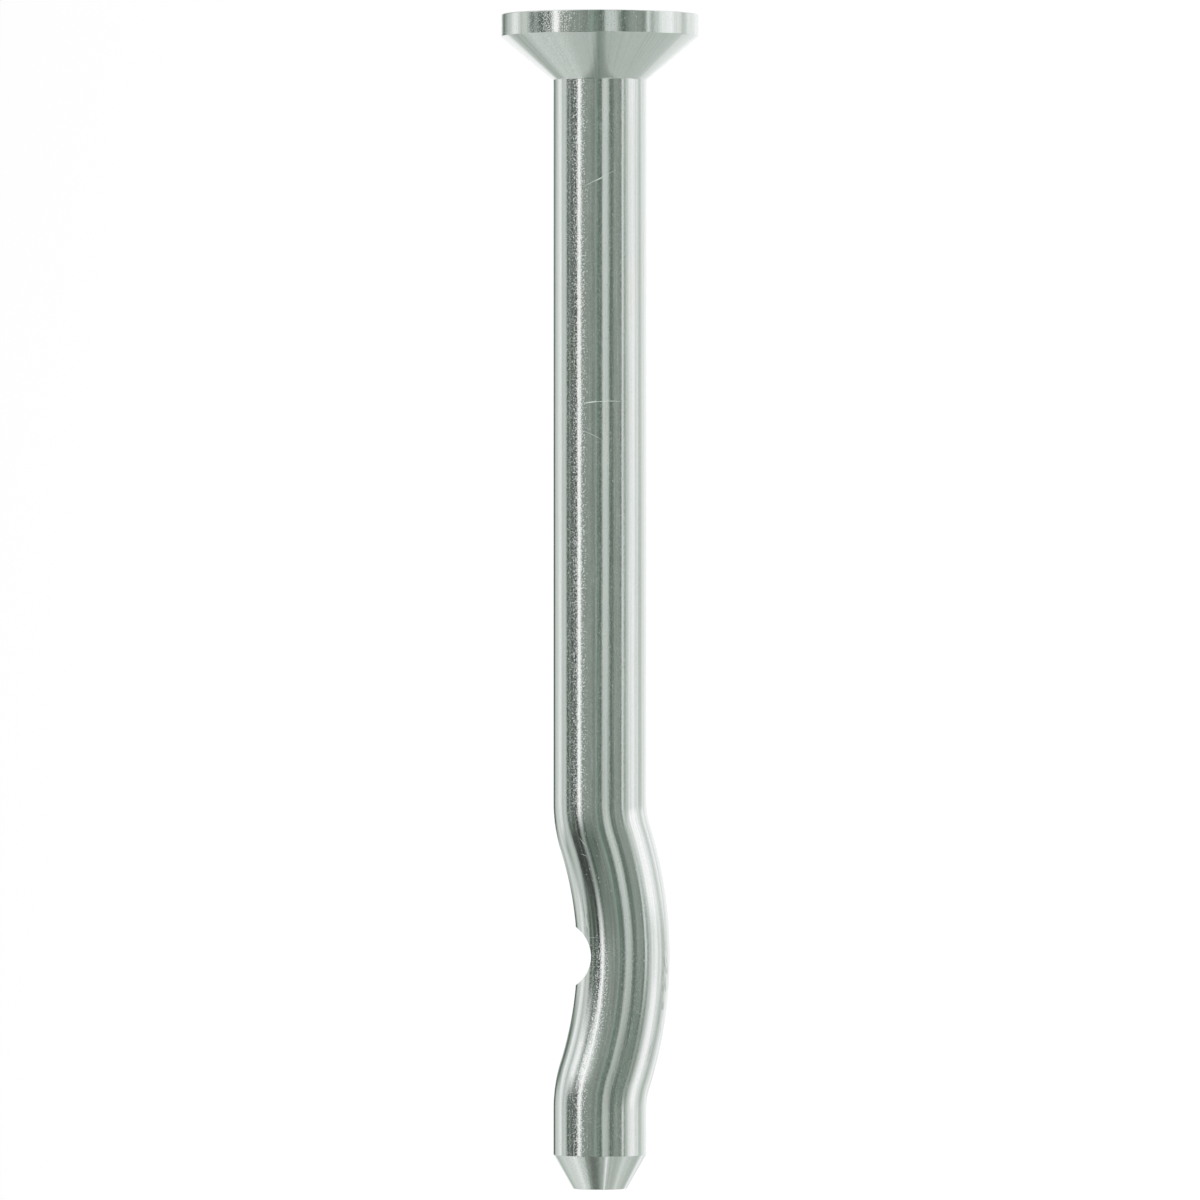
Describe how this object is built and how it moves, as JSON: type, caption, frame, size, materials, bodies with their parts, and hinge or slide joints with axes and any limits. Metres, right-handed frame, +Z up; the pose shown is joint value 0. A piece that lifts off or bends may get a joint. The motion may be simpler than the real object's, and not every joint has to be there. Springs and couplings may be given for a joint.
{
  "type": "crimp drive anchor",
  "caption": "Countersunk steel pin anchor with a notched S-shaped crimp near its coned tip, hammered into a drilled hole so that the crimp grips the wall.",
  "frame": {"origin": "on the surface the anchor lies on, under the middle of its bounding box", "axes": "+X along the anchor's length towards the head, +Z up, and the crimp's crest leans to -Y and down"},
  "size_m": [0.0764, 0.0128, 0.0129],
  "materials": {
    "zinc_steel": "bright zinc plate on drawn steel, with fine lengthwise draw lines"
  },
  "bodies": {
    "root": {"anchor": "zinc_steel"}
  },
  "joints": []
}
